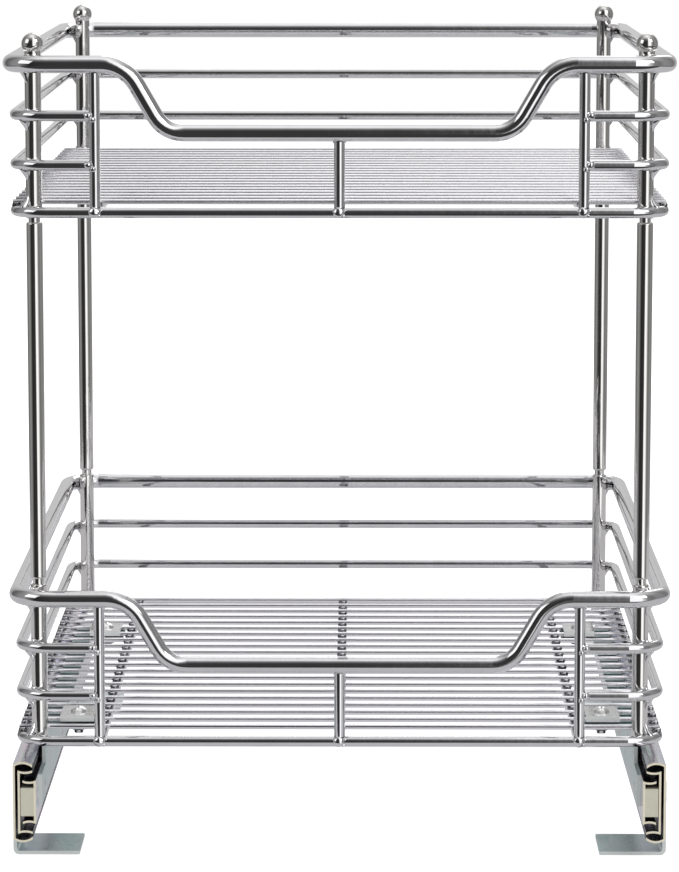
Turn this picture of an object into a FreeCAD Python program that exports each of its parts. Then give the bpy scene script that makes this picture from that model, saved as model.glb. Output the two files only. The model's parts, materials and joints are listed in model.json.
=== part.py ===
"""Two-tier pull-out cabinet rack: two chromed wire baskets on ball bearing slides.

Frame: +X is to the right, -Y is the front that is pulled, +Z is up.
The origin is the bottom centre of the whole part, on the floor of the cabinet.
"""
import FreeCAD
import Part
import os
import re
import Sketcher
from FreeCAD import Vector

# Driving dimensions, in millimetres, and in degrees for the one angle.
SIZES = (
    ("overall_width", 368.0, "across the rims"),
    ("overall_height", 457.0, "floor to the top of the ball finials"),
    ("basket_depth", 420.0, "front to back across the rims"),
    ("basket_height", 80.6, "bottom frame centre to rim centre"),
    ("basket_lift", 4.6, "top of the slides to the underside of the lower basket"),
    ("rim_rod", 9.5, "diameter of the rim"),
    ("corner_radius", 24.0, "outside radius of a rim corner"),
    ("dip_depth", 37.0, "how far the rim drops at the front"),
    ("dip_inset", 48.5, "outer stay to the straight bottom of the dip"),
    ("dip_foot_bend", 18.0, "radius of the dip's two lower bends"),
    ("dip_knee_bend", 22.0, "radius of the dip's two upper bends"),
    ("dip_slope", 60.0, "steepest angle of the dip, in degrees"),
    ("frame_wire", 6.0, "diameter of frame, side wires, rods and stays"),
    ("rim_spacing", 28.0, "rim to high side wire"),
    ("wire_spacing", 26.8, "high to low side wire"),
    ("stay_inset", 51.0, "outer edge of the rim to an outer stay or rod"),
    ("floor_wire", 3.0, "diameter of a floor wire"),
    ("floor_pitch", 19.0, "largest spacing of the floor wires"),
    ("floor_overhang", 1.6, "floor wire past the frame's centre line"),
    ("weld_gap", 0.2, "first floor wire to post"),
    ("post_rod", 9.0, "diameter of posts and upright tubes"),
    ("post_rise", 6.5, "post above the rim's centre"),
    ("tube_wall", 1.3, "wall of an upright tube"),
    ("tube_shoulder", 1.2, "rounding at the ends of tubes and posts"),
    ("neck_fit", 0.05, "neck to tube bore, each side"),
    ("neck_show", 3.0, "length of neck that stays in sight"),
    ("neck_depth", 12.0, "neck inside the tube"),
    ("ball_size", 12.0, "diameter of a ball finial"),
    ("ball_rise", 10.5, "ball centre above the rim's centre"),
    ("stud_rod", 4.0, "diameter of a finial's stud"),
    ("stud_length", 9.0, "stud inside the post"),
    ("stud_fit", 0.1, "stud to its hole, each side"),
    ("slide_length", 457.0, "outer and inner member"),
    ("slide_height", 45.5, "outer member"),
    ("slide_width", 12.7, "closed slide, side to side"),
    ("slide_inset", 3.8, "slide inside the rim's outer edge"),
    ("slide_lift", 12.5, "floor to the slide's bottom edge"),
    ("sheet", 1.2, "wall of the slide members"),
    ("dome_rise", 1.75, "crown of the outer member's flange"),
    ("groove_sink", 0.8, "hollow of the ball grooves"),
    ("flange_reach", 10.8, "outer and middle flange ends from the back"),
    ("web_gap", 1.5, "outer web to middle web"),
    ("inner_hook", 5.4, "inner flange ends from the back"),
    ("outer_ball_place", 6.1, "outer balls from the back"),
    ("inner_ball_place", 8.6, "inner balls from the back"),
    ("middle_setback", 37.0, "slide longer than its intermediate member"),
    ("ball", 4.2, "diameter of a bearing ball"),
    ("ball_fit", 0.1, "ball to race and to cage, each side"),
    ("ball_spacing", 25.0, "spacing of the balls in a cage"),
    ("ball_count", 8.0, "balls in one row"),
    ("cage_sheet", 0.5, "wall of a ball cage"),
    ("cage_length", 200.0, "ball cage"),
    ("cage_margin", 0.5, "cage past the ball holes"),
    ("cage_setback", 110.0, "slide front to cage front"),
    ("stop_height", 15.8, "end stop block"),
    ("stop_length", 22.0, "end stop block along the slide"),
    ("stop_gap", 0.3, "stop block to the inner member's hooks"),
    ("slide_lead", 12.0, "slide front ahead of the rim's front"),
    ("foot_plate", 2.0, "thickness of a floor bracket"),
    ("foot_reach", 37.0, "floor bracket, side to side"),
    ("foot_depth", 40.0, "floor bracket, front to back"),
    ("foot_rise", 42.0, "height of a floor bracket"),
    ("foot_setback", 22.0, "slide end to floor bracket"),
    ("foot_hole", 4.5, "screw hole in a rear foot"),
    ("foot_hole_pitch", 20.0, "screw holes in one rear foot, front to back"),
    ("foot_hole_inset", 12.0, "screw hole from the foot's inner edge"),
    ("foot_bend", 3.2, "outside bend of a floor bracket"),
    ("rivet_rod", 4.0, "shank of a rivet"),
    ("rivet_head", 7.0, "diameter of a rivet head"),
    ("rivet_crown", 0.9, "height of a rivet head"),
    ("rivet_flush", 0.3, "height of a rivet's inner head"),
    ("rivet_fit", 0.05, "rivet to its hole, each side"),
    ("rivet_drop", 5.25, "middle of the slide to the foot rivets"),
    ("rivet_inset", 10.0, "rivets from the ends of a foot"),
    ("bracket_plate", 2.0, "thickness of a basket bracket"),
    ("bracket_flange", 11.0, "bracket flange from the slide's face"),
    ("bracket_raise", 16.5, "bottom of the slide to the bracket's lower edge"),
    ("bracket_nose", 18.0, "slide front to the bracket's nose"),
    ("bracket_rivet_inset", 22.0, "bracket ends to the outer rivets"),
    ("tab_reach", 30.5, "tab from the slide's face"),
    ("tab_depth", 36.0, "tab, front to back"),
    ("clamp_width", 19.0, "clamp plate, side to side"),
    ("clamp_plate", 1.5, "thickness of a clamp plate"),
    ("clamp_lip", 2.1, "clamp lip below the plate"),
    ("clamp_fit", 0.3, "clamp lip to floor wire"),
    ("clamp_inset", 19.5, "slide's face to a clamp screw"),
    ("front_clamp_count", 1.5, "floor wire spaces before a front clamp screw"),
    ("rear_clamp_count", 14.5, "floor wire spaces before a rear clamp screw"),
    ("screw_rod", 5.0, "shank of a clamp screw"),
    ("screw_hole", 5.5, "hole in tab and clamp plate"),
    ("screw_head", 9.0, "diameter of a screw head"),
    ("screw_crown", 2.8, "height of a screw head"),
    ("screw_dome", 1.8, "domed part of a screw head"),
    ("screw_end", 2.0, "screw past the nut"),
    ("recess_width", 5.0, "cross recess, tip to tip"),
    ("recess_slot", 1.0, "cross recess, slot width"),
    ("recess_depth", 1.4, "cross recess"),
    ("nut_flats", 8.0, "nut across flats"),
    ("nut_height", 4.0, "nut"),
)

# Places worked out from the driving dimensions.
PLACES = (
    ("rim_x", "overall_width / 2 - rim_rod / 2"),
    ("slide_front", "-slide_length / 2"),
    ("rim_front_edge", "slide_front + slide_lead"),
    ("rim_back_edge", "rim_front_edge + basket_depth"),
    ("rim_front", "rim_front_edge + rim_rod / 2"),
    ("rim_back", "rim_back_edge - rim_rod / 2"),
    ("rim_bend", "corner_radius - rim_rod / 2"),
    ("wire_inset", "rim_rod - frame_wire / 2"),
    ("wire_x", "overall_width / 2 - wire_inset"),
    ("wire_front", "rim_front_edge + wire_inset"),
    ("wire_back", "rim_back_edge - wire_inset"),
    ("wire_bend", "corner_radius - wire_inset"),
    ("post_inset", "corner_radius - (corner_radius - rim_rod - post_rod / 2) / sqrt(2)"),
    ("post_x", "overall_width / 2 - post_inset"),
    ("post_front", "rim_front_edge + post_inset"),
    ("post_back", "rim_back_edge - post_inset"),
    ("upper_rim", "overall_height - ball_rise - ball_size / 2"),
    ("upper_frame", "upper_rim - basket_height"),
    ("lower_frame", "slide_lift + slide_height + basket_lift + frame_wire / 2"),
    ("lower_rim", "lower_frame + basket_height"),
    ("stay_x", "overall_width / 2 - stay_inset"),
    ("dip_flat", "2 * (stay_x - dip_inset)"),
    ("floor_line", "frame_wire / 2 + floor_wire / 2"),
    ("floor_first", "post_front + post_rod / 2 + floor_wire / 2 + weld_gap"),
    ("floor_last", "post_back - post_rod / 2 - floor_wire / 2 - weld_gap"),
    ("floor_count", "ceil((floor_last - floor_first) / floor_pitch) + 1"),
    ("floor_step", "(floor_last - floor_first) / (floor_count - 1)"),
    ("neck_rod", "post_rod - 2 * tube_wall - 2 * neck_fit"),
    ("tube_low", "lower_rim + post_rise + neck_show"),
    ("tube_high", "upper_frame - frame_wire / 2 - neck_show"),
    ("slide_back", "overall_width / 2 - slide_inset"),
    ("slide_face", "slide_back - slide_width"),
    ("slide_middle", "slide_lift + slide_height / 2"),
    ("middle_length", "slide_length - middle_setback"),
    ("race_outer", "slide_height / 2 - sheet - ball / 2 - ball_fit"),
    ("middle_top", "race_outer - ball / 2 - ball_fit"),
    ("race_inner", "middle_top - sheet - ball / 2 - ball_fit"),
    ("inner_top", "race_inner - ball / 2 - ball_fit"),
    ("cage_front", "slide_front + cage_setback"),
    ("first_ball", "cage_front + (cage_length - (ball_count - 1) * ball_spacing) / 2"),
    ("outer_cage_web", "sheet + (web_gap - cage_sheet) / 2"),
    ("middle_web", "sheet + web_gap"),
    ("inner_cage_web", "middle_web + sheet + (web_gap - cage_sheet) / 2"),
    ("tab_top", "lower_frame + frame_wire / 2"),
    ("tab_low", "tab_top - bracket_plate"),
    ("bracket_face", "slide_face - bracket_plate"),
    ("clamp_seat", "tab_top + floor_wire"),
    ("clamp_x", "slide_face - clamp_inset"),
    ("clamp_front", "floor_first + front_clamp_count * floor_step"),
    ("clamp_rear", "floor_first + rear_clamp_count * floor_step"),
    ("clamp_half", "floor_step / 2 + floor_wire / 2 + clamp_fit"),
    ("bracket_low", "slide_lift + bracket_raise"),
    ("bracket_start", "slide_front + bracket_nose"),
    ("bracket_tall", "clamp_front - tab_depth / 2"),
    ("bracket_end", "clamp_rear + tab_depth / 2"),
    ("foot_rivet_z", "slide_middle - rivet_drop"),
    ("foot_face", "slide_back + foot_plate"),
    ("foot_front_start", "slide_front + foot_setback"),
    ("foot_rear_start", "-slide_front - foot_setback - foot_depth"),
)

# The two baskets and the four corners, by the words that end their names.
TIERS = ("upper", "lower")
CORNERS = (("front_left", -1, "front"), ("front_right", 1, "front"),
           ("rear_left", -1, "back"), ("rear_right", 1, "back"))
HANDS = (("left", -1), ("right", 1))

doc = FreeCAD.newDocument("pull_out_rack")
sheet = doc.addObject("Spreadsheet::Sheet", "Sizes")
places = doc.addObject("App::VarSet", "Places")
SIZE_NAMES = {name for name, _, _ in SIZES}
PLACE_NAMES = {name for name, _ in PLACES}
subparts = []


def bound(formula):
    """Point each size and place named in a formula at the sheet or the places."""
    def owner(word):
        name = word.group()
        if name in SIZE_NAMES:
            return "Sizes." + name
        if name in PLACE_NAMES:
            return "Places." + name
        return name
    return re.sub(r"[a-z_]+", owner, str(formula))


def number(formula):
    """The present value of a formula, for the first drawing of a sketch."""
    return float(sheet.evalExpression(bound(formula)))


def bind(item, **formulas):
    """Bind properties of an object, such as Radius, to formulas."""
    for name, formula in formulas.items():
        item.setExpression(name, bound(formula))


def fill_sheet():
    for row, (name, value, words) in enumerate(SIZES, start=1):
        sheet.set(f"A{row}", str(value))
        sheet.setAlias(f"A{row}", name)
        sheet.set(f"B{row}", words)
    doc.recompute()
    for name, formula in PLACES:
        places.addProperty("App::PropertyFloat", name)
        places.setExpression(name, bound(formula))
    doc.recompute()


def keep(item, label):
    """Name a finished sub-part; the label is also its file name."""
    item.Label = label
    subparts.append(item)
    return item


def new_body(label):
    body = doc.addObject("PartDesign::Body", label)
    body.AllowCompound = True
    return keep(body, label)


def new_sketch(body, plane, offset="0"):
    """A sketch on one of the body's own planes, moved along that plane's normal."""
    role = plane + "_Plane"
    origin_plane = next(f for f in body.Origin.OriginFeatures if f.Role == role)
    sketch = body.newObject("Sketcher::SketchObject", "sketch")
    sketch.AttachmentSupport = [(origin_plane, "")]
    sketch.MapMode = "FlatFace"
    sketch.setExpression(".AttachmentOffset.Base.z", bound(offset))
    return sketch


def pin_point(sketch, piece, end, across, up):
    """Hold one end or centre of a sketch piece at two bound distances."""
    for kind, formula in (("DistanceX", across), ("DistanceY", up)):
        rule = Sketcher.Constraint(kind, -1, 1, piece, end, number(formula))
        index = sketch.addConstraint(rule)
        sketch.setExpression(f"Constraints[{index}]", bound(formula))


def draw_circle(sketch, across, up, diameter):
    centre = Vector(number(across), number(up), 0)
    radius = number(f"({diameter}) / 2")
    piece = sketch.addGeometry(Part.Circle(centre, Vector(0, 0, 1), radius))
    pin_point(sketch, piece, 3, across, up)
    index = sketch.addConstraint(Sketcher.Constraint("Diameter", piece, 2 * radius))
    sketch.setExpression(f"Constraints[{index}]", bound(diameter))


def draw_outline(sketch, points, closed=True):
    """Lines and arcs through points (across, up) or (across, up, mid_across, mid_up).

    The longer form makes the piece that arrives at the point an arc through its middle.
    """
    count = len(points)
    for end in range(0 if closed else 1, count):
        start_point = points[end - 1]
        end_point = points[end]
        start = Vector(number(start_point[0]), number(start_point[1]), 0)
        finish = Vector(number(end_point[0]), number(end_point[1]), 0)
        if len(end_point) == 2:
            piece = sketch.addGeometry(Part.LineSegment(start, finish))
            pin_point(sketch, piece, 1, *start_point[:2])
            pin_point(sketch, piece, 2, *end_point)
            continue
        middle = Vector(number(end_point[2]), number(end_point[3]), 0)
        first, last = start_point, end_point
        if (middle - start).cross(finish - middle).z < 0:
            start, finish = finish, start
            first, last = end_point, start_point
        piece = sketch.addGeometry(Part.Arc(start, middle, finish))
        pin_point(sketch, piece, 1, *first[:2])
        pin_point(sketch, piece, 2, *last[:2])
        hold_arc(sketch, piece, start_point, end_point)


def hold_arc(sketch, piece, start_point, end_point):
    """Bind an arc's radius to the circle through its ends and its middle."""
    middle = end_point[2:]
    chord = apart(start_point, end_point)
    near = apart(start_point, middle)
    far = apart(middle, end_point)
    lean = (f"abs((({middle[0]}) - ({start_point[0]})) * (({end_point[1]}) - ({start_point[1]}))"
            f" - (({middle[1]}) - ({start_point[1]})) * (({end_point[0]}) - ({start_point[0]})))")
    radius = f"{chord} * {near} * {far} / (2 * {lean})"
    index = sketch.addConstraint(Sketcher.Constraint("Radius", piece, number(radius)))
    sketch.setExpression(f"Constraints[{index}]", bound(radius))


def apart(one, other):
    """Distance between two points given as formulas."""
    return f"sqrt((({other[0]}) - ({one[0]}))^2 + (({other[1]}) - ({one[1]}))^2)"


def pad(body, sketch, length, label="pad"):
    feature = body.newObject("PartDesign::Pad", label)
    feature.Profile = sketch
    bind(feature, Length=length)
    return feature


def pocket_through(body, sketch, label="pocket"):
    feature = body.newObject("PartDesign::Pocket", label)
    feature.Profile = sketch
    feature.Type = "ThroughAll"
    feature.Midplane = True
    return feature


def sweep(body, path, section, label="sweep"):
    """Run a round section along a path of tangent lines and arcs."""
    doc.recompute()
    feature = body.newObject("PartDesign::AdditivePipe", label)
    feature.Profile = section
    feature.Spine = (path, [])
    feature.Transition = "Round corner"
    return feature


def corner_arc(across, up, centre_across, centre_up, radius, side, end):
    """The end point of a quarter bend, with the middle of the bend after it."""
    mid_across = f"{centre_across} + ({side}) * ({radius}) / sqrt(2)"
    mid_up = f"{centre_up} + ({end}) * ({radius}) / sqrt(2)"
    return (across, up, mid_across, mid_up)


def loop_points(half, front, back, bend, start):
    """Plan of a wire that goes from the front, left of the middle, round the back."""
    left_turn = f"-{half} + {bend}"
    right_turn = f"{half} - {bend}"
    return [
        (f"-({start})", front),
        (left_turn, front),
        corner_arc(f"-{half}", f"{front} + {bend}", left_turn, f"{front} + {bend}", bend, -1, -1),
        (f"-{half}", f"{back} - {bend}"),
        corner_arc(left_turn, back, left_turn, f"{back} - {bend}", bend, -1, 1),
        (right_turn, back),
        corner_arc(half, f"{back} - {bend}", right_turn, f"{back} - {bend}", bend, 1, 1),
        (half, f"{front} + {bend}"),
        corner_arc(right_turn, front, right_turn, f"{front} + {bend}", bend, 1, -1),
        (start, front),
    ]


def dip_points(height):
    """Front view of the rim: level, down an S bend, level, and up again."""
    turns = {}
    for bend in ("dip_foot_bend", "dip_knee_bend"):
        turns[bend] = (f"{bend} * sin(dip_slope)", f"{bend} * (1 - cos(dip_slope))",
                       f"{bend} * sin(dip_slope / 2)", f"{bend} * (1 - cos(dip_slope / 2))")
    foot_turn, foot_drop, foot_half_turn, foot_half_drop = turns["dip_foot_bend"]
    knee_turn, knee_drop, knee_half_turn, knee_half_drop = turns["dip_knee_bend"]
    low = f"{height} - dip_depth"
    foot = "dip_flat / 2"
    shin = f"{foot} + {foot_turn}"
    knee = f"{shin} + (dip_depth - {foot_drop} - {knee_drop}) / tan(dip_slope)"
    top = f"{knee} + {knee_turn}"
    return [
        ("-rim_x + rim_bend", height),
        (f"-({top})", height),
        (f"-({knee})", f"{height} - {knee_drop}",
         f"-({top} - {knee_half_turn})", f"{height} - {knee_half_drop}"),
        (f"-({shin})", f"{low} + {foot_drop}"),
        (f"-({foot})", low, f"-({foot} + {foot_half_turn})", f"{low} + {foot_half_drop}"),
        (foot, low),
        (shin, f"{low} + {foot_drop}", f"{foot} + {foot_half_turn}", f"{low} + {foot_half_drop}"),
        (knee, f"{height} - {knee_drop}"),
        (top, height, f"{top} - {knee_half_turn}", f"{height} - {knee_half_drop}"),
        ("rim_x - rim_bend", height),
    ]


def make_rim(tier):
    """One rod: a U round sides and back, closed by the dipped run at the front."""
    height = f"{tier}_rim"
    start = "rim_x - rim_bend"
    body = new_body(f"{tier}_rim")
    for label, plane, offset in (("around", "XY", height), ("front", "XZ", "-rim_front")):
        path = new_sketch(body, plane, offset)
        if label == "around":
            draw_outline(path, loop_points("rim_x", "rim_front", "rim_back", "rim_bend", start)[1:-1],
                         closed=False)
        else:
            draw_outline(path, dip_points(height), closed=False)
        section = new_sketch(body, "YZ", f"-({start})")
        draw_circle(section, "rim_front", height, "rim_rod")
        sweep(body, path, section, label)


def make_side_wire(tier, word, drop):
    """A wire from the left stay round the back to the right stay."""
    height = f"{tier}_rim - ({drop})"
    body = new_body(f"{tier}_{word}_side_wire")
    start = "stay_x + frame_wire / 2"
    path = new_sketch(body, "XY", height)
    draw_outline(path, loop_points("wire_x", "wire_front", "wire_back", "wire_bend", start), closed=False)
    section = new_sketch(body, "YZ", f"-({start})")
    draw_circle(section, "wire_front", height, "frame_wire")
    sweep(body, path, section)


def make_bottom_frame(tier):
    """A closed loop: a U round sides and back, and the straight front."""
    height = f"{tier}_frame"
    start = "wire_x - wire_bend"
    body = new_body(f"{tier}_bottom_frame")
    path = new_sketch(body, "XY", height)
    draw_outline(path, loop_points("wire_x", "wire_front", "wire_back", "wire_bend", start)[1:-1],
                 closed=False)
    section = new_sketch(body, "YZ", f"-({start})")
    draw_circle(section, "wire_front", height, "frame_wire")
    sweep(body, path, section, "around")
    front = new_sketch(body, "YZ", f"-({start})")
    draw_circle(front, "wire_front", height, "frame_wire")
    pad(body, front, f"2 * ({start})", "front")


def make_floor_wires(tier):
    """Thin wires side to side, lying on the frame and the rods."""
    body = new_body(f"{tier}_floor_wires")
    section = new_sketch(body, "YZ", "-wire_x - floor_overhang")
    draw_circle(section, "floor_first", f"{tier}_frame + floor_line", "floor_wire")
    first = pad(body, section, "2 * (wire_x + floor_overhang)")
    repeat(body, first, section, "floor_count", "floor_step", "H_Axis")


def repeat(body, feature, sketch, count, step, axis):
    """Repeat a feature along one axis of the sketch that made it."""
    doc.recompute()
    pattern = body.newObject("PartDesign::LinearPattern", "pattern")
    pattern.Originals = [feature]
    pattern.Direction = (sketch, [axis])
    pattern.Mode = "Spacing"
    bind(pattern, Occurrences=count, Offset=step)
    body.Tip = pattern
    return pattern



def make_floor_rods(tier):
    """Three rods front to back inside the bottom frame, at its level."""
    body = new_body(f"{tier}_floor_rods")
    sections = new_sketch(body, "XZ", "-(wire_back - frame_wire / 2)")
    for across in ("-stay_x", "0", "stay_x"):
        draw_circle(sections, across, f"{tier}_frame", "frame_wire")
    pad(body, sections, "wire_back - wire_front - frame_wire")


def make_front_stays(tier):
    """Two outer stays up to the level rim, and a short one up to the dip."""
    body = new_body(f"{tier}_front_stays")
    foot = f"{tier}_frame + frame_wire / 2"
    full = "basket_height - frame_wire / 2 - rim_rod / 2"
    outer = new_sketch(body, "XY", foot)
    draw_circle(outer, "-stay_x", "wire_front", "frame_wire")
    draw_circle(outer, "stay_x", "wire_front", "frame_wire")
    pad(body, outer, full, "outer")
    middle = new_sketch(body, "XY", foot)
    draw_circle(middle, "0", "wire_front", "frame_wire")
    pad(body, middle, f"{full} - dip_depth", "middle")


def turn_round(body, plane, offset, outline, axis, label="turned"):
    """A turned piece: an outline beside its axis, spun a full turn about it."""
    sketch = new_sketch(body, plane, offset)
    draw_outline(sketch, outline)
    ends = [Vector(number(across), number(up), 0) for across, up in axis]
    line = sketch.addGeometry(Part.LineSegment(*ends), True)
    pin_point(sketch, line, 1, *axis[0])
    pin_point(sketch, line, 2, *axis[1])
    doc.recompute()
    feature = body.newObject("PartDesign::Revolution", label)
    feature.Profile = sketch
    feature.ReferenceAxis = (sketch, ["Axis0"])
    feature.Angle = 360
    return feature


def upright_outline(across, steps):
    """Half section of an upright piece from (radius, height) steps."""
    points = []
    for step in steps:
        point = (f"{across} + {step[0]}", step[1])
        if len(step) == 4:
            point += (f"{across} + {step[2]}", step[3])
        points.append(point)
    return points


def rounded_shoulder(radius, height, turn):
    """A rounded edge that leaves the side of a rod; turn is 1 upward and -1 downward."""
    bend = "tube_shoulder"
    side = (f"{radius}", f"{height} - ({turn}) * {bend}")
    top = (f"{radius} - {bend}", height,
           f"{radius} - {bend} * (1 - 1 / sqrt(2))", f"{height} - ({turn}) * {bend} * (1 - 1 / sqrt(2))")
    return side, top


def make_post(tier, corner, side, end):
    """A corner post: the upper one is drilled for its finial, both have a neck for the tube."""
    body = new_body(f"{tier}_post_{corner}")
    across = f"{side} * post_x"
    low = f"{tier}_frame - frame_wire / 2"
    top = f"{tier}_rim + post_rise"
    radius = "post_rod / 2"
    neck = "neck_rod / 2"
    reach = "(neck_show + neck_depth)"
    if tier == "upper":
        steps = [("0", f"{low} - {reach}"), (neck, f"{low} - {reach}"), (neck, low), (radius, low),
                 (radius, top), ("stud_rod / 2 + stud_fit", top),
                 ("stud_rod / 2 + stud_fit", f"{top} - stud_length - stud_fit"),
                 ("0", f"{top} - stud_length - stud_fit")]
    else:
        edge, shoulder = rounded_shoulder(radius, top, 1)
        steps = [("0", low), (radius, low), edge, shoulder, (neck, top),
                 (neck, f"{top} + {reach}"), ("0", f"{top} + {reach}")]
    axis = ((across, low), (across, top))
    turn_round(body, "XZ", f"-post_{end}", upright_outline(across, steps), axis)


def make_tube(corner, side, end):
    """An upright tube between the baskets, with rounded ends over the two necks."""
    body = new_body(f"upright_tube_{corner}")
    across = f"{side} * post_x"
    outer = "post_rod / 2"
    bore = "post_rod / 2 - tube_wall"
    low_edge, low_shoulder = rounded_shoulder(outer, "tube_low", -1)
    high_edge, high_shoulder = rounded_shoulder(outer, "tube_high", 1)
    steps = [(bore, "tube_low"), low_shoulder[:2], low_edge + low_shoulder[2:], high_edge,
             high_shoulder, (bore, "tube_high")]
    axis = ((across, "tube_low"), (across, "tube_high"))
    turn_round(body, "XZ", f"-post_{end}", upright_outline(across, steps), axis)


def make_finial(corner, side, end):
    """A ball with a flat seat on the post and a stud in the post's hole."""
    body = new_body(f"ball_finial_{corner}")
    across = f"{side} * post_x"
    seat = "upper_rim + post_rise"
    centre = "upper_rim + ball_rise"
    waist = "sqrt((ball_size / 2)^2 - (ball_rise - post_rise)^2)"
    lean = "asin((ball_rise - post_rise) / (ball_size / 2)) / 2"
    slant = "ball_size / 2 / sqrt(2)"
    steps = [("0", f"{seat} - stud_length"), ("stud_rod / 2", f"{seat} - stud_length"),
             ("stud_rod / 2", seat), (waist, seat),
             ("ball_size / 2", centre,
              f"ball_size / 2 * cos({lean})", f"{centre} - ball_size / 2 * sin({lean})"),
             ("0", f"{centre} + ball_size / 2", slant, f"{centre} + {slant}")]
    axis = ((across, seat), (across, centre))
    turn_round(body, "XZ", f"-post_{end}", upright_outline(across, steps), axis)


def bowed(place, near, far, crown, rise, bulge, depth):
    """Height of a bowed flange at a place; bulge is 1 for a dome and -1 for a groove."""
    full = f"((({far} - ({near}))^2 / 4 + {rise}^2) / (2 * {rise}))"
    radius = f"({full} - ({bulge}) * {depth})"
    middle = f"({near} + ({far})) / 2"
    return (f"{crown} - {depth} - ({bulge})"
            f" * ({radius} - sqrt({radius}^2 - ({place} - ({middle}))^2))")


def channel_outline(side, web, turn, far, crown, rise, bulge):
    """Section of a slide member: a web with a bowed flange at each end.

    Distances run from the slide's back; turn is 1 when the flanges point away from it.
    """
    inside = f"{web} + ({turn}) * sheet"
    corners = [
        (web, "0", None),
        (far, "0", f"({web} + {far}) / 2"),
        (far, "sheet", None),
        (inside, "sheet", f"({inside} + {far}) / 2"),
    ]
    top = [channel_point(side, web, far, crown, rise, bulge, 1, *corner) for corner in corners]
    bottom = []
    for index in range(3, -1, -1):
        place, depth, _ = corners[index]
        middle = corners[index + 1][2] if index < 3 else None
        bottom.append(channel_point(side, web, far, crown, rise, bulge, -1, place, depth, middle))
    return top + bottom


def channel_point(side, web, far, crown, rise, bulge, half, place, depth, middle):
    """One corner of the section, and the middle of the arc that arrives there."""
    def at(where):
        height = bowed(where, web, far, crown, rise, bulge, depth)
        return f"{side} * (slide_back - ({where}))", f"slide_middle + ({half}) * ({height})"
    return at(place) + (at(middle) if middle else ())


def make_member(hand, side, word, start, length, outline, rivet_places, rivet_up):
    """One slide member: its section drawn out along the slide, drilled for rivets."""
    body = new_body(f"slide_{word}_member_{hand}")
    section = new_sketch(body, "XZ", f"-({start} + {length})")
    draw_outline(section, outline)
    pad(body, section, length)
    if rivet_places:
        drill_sideways(body, rivet_places, rivet_up)
    return body


def drill_sideways(body, places_along, height):
    """Rivet holes across the slide."""
    holes = new_sketch(body, "YZ")
    for place in places_along:
        draw_circle(holes, place, height, "rivet_rod + 2 * rivet_fit")
    doc.recompute()
    pocket_through(body, holes, "rivet_holes")


def make_cage(hand, side, word, web, place, race):
    """A thin channel with a row of ball holes in each flange."""
    body = new_body(f"{word}_ball_cage_{hand}")
    far = f"{place} + ball / 2 + ball_fit + cage_margin"
    top = f"{race} + cage_sheet / 2"
    low = f"{race} - cage_sheet / 2"
    inside = f"{web} + cage_sheet"
    corners = [(web, top), (far, top), (far, low), (inside, low),
               (inside, f"-({low})"), (far, f"-({low})"), (far, f"-({top})"), (web, f"-({top})")]
    section = new_sketch(body, "XZ", "-(cage_front + cage_length)")
    draw_outline(section, [(f"{side} * (slide_back - ({u}))", f"slide_middle + ({v})") for u, v in corners])
    pad(body, section, "cage_length")
    hole = new_sketch(body, "XY", "slide_middle")
    draw_circle(hole, f"{side} * (slide_back - {place})", "first_ball", "ball + 2 * ball_fit")
    doc.recompute()
    first = pocket_through(body, hole, "ball_hole")
    repeat(body, first, hole, "ball_count", "ball_spacing", "V_Axis")


def make_balls(hand, side, word, place, race):
    """The balls of a cage, an upper and a lower row."""
    body = new_body(f"{word}_bearing_balls_{hand}")
    across = f"{side} * (slide_back - {place})"
    rows = []
    for half in (1, -1):
        height = f"slide_middle + {half} * {race}"
        slant = "ball / 2 / sqrt(2)"
        outline = [(across, f"{height} - ball / 2"),
                   (f"{across} + ball / 2", height, f"{across} + {slant}", f"{height} - {slant}"),
                   (across, f"{height} + ball / 2", f"{across} + {slant}", f"{height} + {slant}")]
        axis = ((across, f"{height} - ball / 2"), (across, f"{height} + ball / 2"))
        rows.append(turn_round(body, "XZ", "-first_ball", outline, axis, "ball"))
    doc.recompute()
    pattern = body.newObject("PartDesign::LinearPattern", "row")
    pattern.Originals = rows
    y_axis = next(f for f in body.Origin.OriginFeatures if f.Role == "Y_Axis")
    pattern.Direction = (y_axis, [""])
    pattern.Mode = "Spacing"
    bind(pattern, Occurrences="ball_count", Offset="ball_spacing")
    body.Tip = pattern


def make_stop(hand, side):
    """The pale block in the front end of the inner member, against its web."""
    body = new_body(f"end_stop_{hand}")
    plan = new_sketch(body, "XZ", "-(slide_front + stop_length)")
    near = "middle_web + sheet + stop_gap"
    far = "slide_width - sheet"
    corners = [(near, "-stop_height / 2"), (near, "stop_height / 2"),
               (far, "stop_height / 2"), (far, "-stop_height / 2")]
    draw_outline(plan, [(f"{side} * (slide_back - ({u}))", f"slide_middle + {v}") for u, v in corners])
    pad(body, plan, "stop_length")


def make_slide(hand, side):
    """A three-part ball bearing slide: outer, middle and inner member, two cages, balls, stop."""
    outer = channel_outline(side, "0", 1, "flange_reach", "slide_height / 2", "dome_rise", 1)
    middle = channel_outline(side, "middle_web", 1, "flange_reach", "middle_top", "groove_sink", -1)
    inner = channel_outline(side, "slide_width", -1, "inner_hook", "inner_top", "groove_sink", -1)
    make_member(hand, side, "outer", "slide_front", "slide_length", outer, foot_rivets(), "foot_rivet_z")
    make_member(hand, side, "middle", "slide_front", "middle_length", middle, (), "")
    make_member(hand, side, "inner", "slide_front", "slide_length", inner, bracket_rivets(), "slide_middle")
    for word, web, place, race in (("outer", "outer_cage_web", "outer_ball_place", "race_outer"),
                                   ("inner", "inner_cage_web", "inner_ball_place", "race_inner")):
        make_cage(hand, side, word, web, place, race)
        make_balls(hand, side, word, place, race)
    make_stop(hand, side)


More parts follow.
